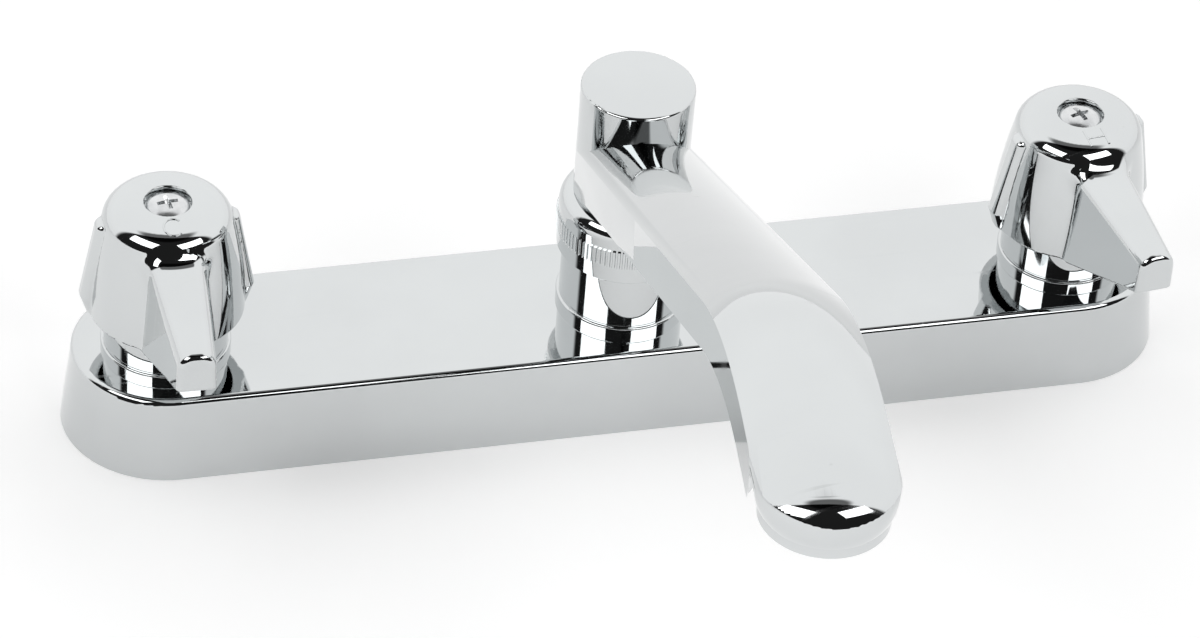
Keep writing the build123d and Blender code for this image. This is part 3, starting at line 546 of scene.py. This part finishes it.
def handle_screw(side):
    """Pan head screw with a cross recess, in place of the plain one."""
    low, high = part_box(f"{side}_handle_screw")
    axis = handle_axis(side)
    head_radius = (high.x - low.x) / 2
    seat = high.z - SCREW_HEAD_HEIGHT
    wall = seat + SCREW_WALL_HEIGHT
    profile = [(0, low.z), (SCREW_SHANK_RADIUS, low.z), (SCREW_SHANK_RADIUS, seat), (head_radius, seat)]
    for step in range(SCREW_DOME_STEPS):
        angle = math.radians(90 * step / SCREW_DOME_STEPS)
        profile.append((head_radius * math.cos(angle), wall + (high.z - wall) * math.sin(angle)))
    profile.append((0, high.z))
    screw = bmesh.new()
    lathe(screw, profile, axis)
    cross = bmesh.new()
    turn = Matrix.Rotation(LEVER_YAWS[side] + SCREW_TURN, 3, "Z")
    for quarter in (0, 90):
        spin = turn @ Matrix.Rotation(math.radians(quarter), 3, "Z")
        outlines = []
        for height, span, width in (
            (high.z - CROSS_DEPTH, CROSS_SPAN * CROSS_FLOOR[0], CROSS_WIDTH * CROSS_FLOOR[1]),
            (high.z + CROSS_CUT_RISE, CROSS_SPAN, CROSS_WIDTH),
        ):
            corners = ((-span, -width), (span, -width), (span, width), (-span, width))
            outlines.append([axis + spin @ Vector((x / 2, y / 2, height)) for x, y in corners])
        loft(cross, outlines)
    mesh = cut_away(screw, cross)
    piece = finish_mesh(
        f"{side}_cross_screw", mesh, "stainless_steel", f"{side}_handle_set", smooth_angle=32
    )
    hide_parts(f"{side}_handle_screw")


# ---------------------------------------------------------------- nose of the spout, in mm
SPOUT_YAW = math.radians(-5.6)
OUTLET_REACH = 203.2
NOSE_RADIUS = 13.1
NOSE_CLEARANCE = 0.08       # how far the roll ends in front of the nose
NOSE_EDGE_HEIGHT = 8.4      # of the top's side edges above the aerator's foot, at the outlet's axis
CROWN_RADIUS = 22.5
CROWN_HALF_WIDTH = 12.75
DROOP = math.radians(5)
ROLL_RADIUS = 5.0
ROLL_END = math.radians(89)
ROLL_RETREAT = 1.2          # how far the roll starts further back per mm that the crown falls away
ROLL_COLUMNS = 60
ROLL_STEPS = 16
ROLL_SPAN = 14.0            # to each side of the spout's middle
CUTTER_MARGIN = 3.0
CUTTER_LEAD = (1.0, 0.3)    # how far behind and above the roll's start the cutter begins
WELD_DISTANCE = 0.001 * MM


def roll_profile(start, top):
    """Outline of the roll's cutter along one line of the spout: reach and height."""
    lead, rise = CUTTER_LEAD
    profile = [(start - lead, top + rise)]
    for step in range(ROLL_STEPS + 1):
        angle = DROOP + (ROLL_END - DROOP) * step / ROLL_STEPS
        profile.append((
            start + ROLL_RADIUS * (math.sin(angle) - math.sin(DROOP)),
            top + ROLL_RADIUS * (math.cos(angle) - math.cos(DROOP)),
        ))
    front, bottom = profile[-1]
    profile += [
        (front + CUTTER_MARGIN, bottom),
        (front + CUTTER_MARGIN, top + CUTTER_MARGIN),
        (start - lead, top + CUTTER_MARGIN),
    ]
    return profile


def rolled_nose():
    """Spout whose crowned top rolls over the whole front of the nose, in place of the plain one."""
    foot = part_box("aerator_housing")[0].z / MM
    spin = Matrix.Rotation(SPOUT_YAW, 3, "Z")
    run = ROLL_RADIUS * math.tan((math.radians(90) - DROOP) / 2)
    roll_start = OUTLET_REACH + NOSE_RADIUS - run + NOSE_CLEARANCE
    side_height = math.sqrt(CROWN_RADIUS**2 - CROWN_HALF_WIDTH**2)
    outlines = []
    for column in range(ROLL_COLUMNS + 1):
        across = ROLL_SPAN * (2 * column / ROLL_COLUMNS - 1)
        crown = math.sqrt(CROWN_RADIUS**2 - across**2)
        start = roll_start - ROLL_RETREAT * (CROWN_RADIUS - crown)
        top = foot + NOSE_EDGE_HEIGHT + crown - side_height - (start - OUTLET_REACH) * math.tan(DROOP)
        outlines.append([
            spin @ Vector((across, -reach, height)) * MM for reach, height in roll_profile(start, top)
        ])
    cutter = bmesh.new()
    loft(cutter, outlines)
    spout = bmesh.new()
    spout.from_mesh(nodes["spout"].data)
    bmesh.ops.remove_doubles(spout, verts=spout.verts, dist=WELD_DISTANCE)
    mesh = cut_away(spout, cutter)
    piece = finish_mesh("rolled_spout", mesh, "polished_chrome", "swing_spout", smooth_angle=22)
    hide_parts("spout")


# ---------------------------------------------------------------- index letters
LETTER_STROKE = 0.22 * MM
LETTER_HALF_WIDTH = 2.1 * MM
LETTER_HALF_HEIGHT = 2.4 * MM
LETTER_REACH = 8.6 * MM
# strokes through points given as shares of the half width and half height; the C is open to the right
LETTER_C = [[
    (math.cos(math.radians(angle)), math.sin(math.radians(angle))) for angle in range(48, 313, 12)
]]
LETTER_H = [[(-1, -1), (-1, 1)], [(1, -1), (1, 1)], [(-1, 0), (1, 0)]]


def index_letter(side, strokes):
    """Letter on the handle's top, in front of the screw, as thin rounded strokes."""
    axis = handle_axis(side)
    recess_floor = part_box(f"{side}_handle_screw")[1].z - SCREW_HEAD_HEIGHT
    crown_top = recess_floor + (HANDLE_HEIGHT - RECESS_FLOOR) * MM
    curve = bpy.data.curves.new(f"{side}_index_letter", "CURVE")
    curve.dimensions = "3D"
    curve.bevel_depth = LETTER_STROKE
    curve.bevel_resolution = 3
    curve.use_fill_caps = True
    spin = Matrix.Rotation(LEVER_YAWS[side], 3, "Z")
    for stroke in strokes:
        spline = curve.splines.new("POLY")
        spline.points.add(len(stroke) - 1)
        for point, (across, along) in zip(spline.points, stroke):
            x = across * LETTER_HALF_WIDTH
            y = -LETTER_REACH + along * LETTER_HALF_HEIGHT
            drop = CROWN * MM * (x * x + y * y) / (CROWN_REACH * MM)**2
            spot = axis + spin @ Vector((x, y, 0))
            point.co = (spot.x, spot.y, crown_top - drop, 1)
    curve.materials.append(finishes["polished_chrome"])
    letter = add_object(f"{side}_index_letter", curve)
    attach(letter, f"{side}_handle_set")


# ---------------------------------------------------------------- knurl of the spout nut
KNURL_TEETH = 88
KNURL_HEIGHTS = (4.4 * MM, 8.7 * MM)                # above the foot of the nut
KNURL_STANDS = (-0.15 * MM, 0.252 * MM, 0.36 * MM)  # of a tooth's root, shoulder and crest
KNURL_HALF_WIDTHS = (0.34, 0.30, 0.22)              # of the same, as shares of the pitch


def knurl():
    """Straight teeth around the nut, a little proud of its wall."""
    low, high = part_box("spout_nut")
    radius = (high.x - low.x) / 2
    pitch = 2 * math.pi / KNURL_TEETH
    flank = [
        (radius + stand, -half_width) for stand, half_width in zip(KNURL_STANDS, KNURL_HALF_WIDTHS)
    ]
    corners = flank + [(reach, -share) for reach, share in reversed(flank)]
    teeth = bmesh.new()
    for tooth in range(KNURL_TEETH):
        loft(teeth, [
            [
                Vector((
                    reach * math.cos((tooth + share) * pitch),
                    reach * math.sin((tooth + share) * pitch),
                    low.z + height,
                ))
                for reach, share in corners
            ]
            for height in KNURL_HEIGHTS
        ])
    finish_mesh("spout_nut_knurl", plain_mesh(teeth), "polished_chrome", "base", smooth_angle=40)


canopy_handle("cold")
canopy_handle("hot")
rolled_nose()
handle_screw("cold")
handle_screw("hot")
index_letter("cold", LETTER_C)
index_letter("hot", LETTER_H)
knurl()

# ---------------------------------------------------------------- floor
FLOOR_SIDE = 3.0
FLOOR_FRONT = 0.70
FLOOR_BACK = 6.0
FLOOR_DROP = 0.1 * MM           # keeps the floor clear of the gasket's underside
FLOOR_COLOUR = (0.80, 0.80, 0.80, 1)
GLOW_SPAN = (0.14, 1.20)        # behind the faucet, over which the floor grows paler
GLOW_STRENGTHS = (0.35, 0.50)

floor_mesh = bpy.data.meshes.new("floor")
floor_corners = (
    (-FLOOR_SIDE, -FLOOR_FRONT),
    (FLOOR_SIDE, -FLOOR_FRONT),
    (FLOOR_SIDE, FLOOR_BACK),
    (-FLOOR_SIDE, FLOOR_BACK),
)
floor_mesh.from_pydata([(x, y, -FLOOR_DROP) for x, y in floor_corners], [], [(0, 1, 2, 3)])
floor = add_object("floor", floor_mesh)

# the paper glows for the camera, in reflections and through clear pieces, and lights nothing
floor_material = bpy.data.materials.new("floor_paper")
tree = Tree(floor_material, "OutputMaterial")
paper = tree.node("BsdfDiffuse", {"Color": FLOOR_COLOUR})
place = tree.node("SeparateXYZ", {"Vector": tree.node("TexCoord").outputs["Object"]})
path = tree.node("LightPath").outputs
seen = tree.calculate("MAXIMUM", path["Is Camera Ray"], path["Is Glossy Ray"])
seen = tree.calculate("MAXIMUM", seen, path["Is Transmission Ray"])
glow = tree.node("Emission", {
    "Color": WHITE,
    "Strength": tree.ranged(place.outputs["Y"], GLOW_SPAN, GLOW_STRENGTHS),
})
glowing = tree.node("AddShader", {0: paper.outputs[0], 1: glow.outputs[0]})
shown = tree.node("MixShader", {"Fac": seen, 1: paper.outputs[0], 2: glowing.outputs[0]})
tree.fill(tree.output, {"Surface": shown.outputs[0]})
floor_mesh.materials.append(floor_material)

# ---------------------------------------------------------------- studio
SKY_RISE = (0.0, 0.5)           # heights of a direction, 1 being straight up
SKY_STRENGTHS = (1.16, 1.22)
ROOM_EDGE = (0.0, 0.14)         # how far a direction turns to the camera's side, 1 being straight at it
ROOM_DARK = 0.015
CEILING_EDGE = (0.88, 0.95)
CEILING_DARK = 0.15

# a lit backdrop behind and beside the faucet, a dark room and ceiling on the camera's side;
# the camera itself sees plain white all round
world = bpy.data.worlds.new("studio")
bpy.context.scene.world = world
tree = Tree(world, "OutputWorld")
direction = tree.node("TexCoord").outputs["Generated"]
height = tree.node("SeparateXYZ", {"Vector": direction}).outputs["Z"]
level = tree.vector("MULTIPLY", (direction, (1, 1, 0)))["Vector"]
heading = tree.vector("NORMALIZE", (level,))["Vector"]
camera_heading = (-math.sin(AZIMUTH), -math.cos(AZIMUTH), 0)
facing = tree.vector("DOT_PRODUCT", (heading, camera_heading))["Value"]
strength = tree.ranged(height, SKY_RISE, SKY_STRENGTHS)
for shade in (
    tree.ranged(facing, ROOM_EDGE, (1.0, ROOM_DARK)),
    tree.ranged(height, CEILING_EDGE, (1.0, CEILING_DARK)),
):
    strength = tree.calculate("MULTIPLY", strength, shade)
tent = tree.node("Background", {"Color": WHITE, "Strength": strength})
backdrop = tree.node("Background", {"Color": WHITE, "Strength": 1.0})
path = tree.node("LightPath").outputs
shown = tree.node("MixShader", {
    "Fac": path["Is Camera Ray"],
    1: tent.outputs[0],
    2: backdrop.outputs[0],
})
tree.fill(tree.output, {"Surface": shown.outputs[0]})

LAMP_DISTANCE = 1.2
LAMP_SIZE = (0.80, 0.50)
LAMP_ELEVATION = math.radians(42)
LAMP_SIDE = math.radians(47)
LAMP_WATTS = 4.0
LAMP_AIM = Vector((0, -0.02, 0.04))


def lamp(name, side):
    """A softbox beside the camera, aimed at the faucet."""
    data = bpy.data.lights.new(name, "AREA")
    data.shape = "RECTANGLE"
    data.size, data.size_y = LAMP_SIZE
    data.energy = LAMP_WATTS
    softbox = add_object(name, data)
    heading = AZIMUTH + side * LAMP_SIDE
    away = Vector((
        -math.sin(heading) * math.cos(LAMP_ELEVATION),
        -math.cos(heading) * math.cos(LAMP_ELEVATION),
        math.sin(LAMP_ELEVATION),
    ))
    softbox.location = LAMP_AIM + away * LAMP_DISTANCE
    softbox.rotation_mode = "QUATERNION"
    softbox.rotation_quaternion = (-away).to_track_quat("-Z", "Y")


lamp("lamp_left", 1)
lamp("lamp_right", -1)

bpy.context.scene.view_settings.view_transform = "Standard"
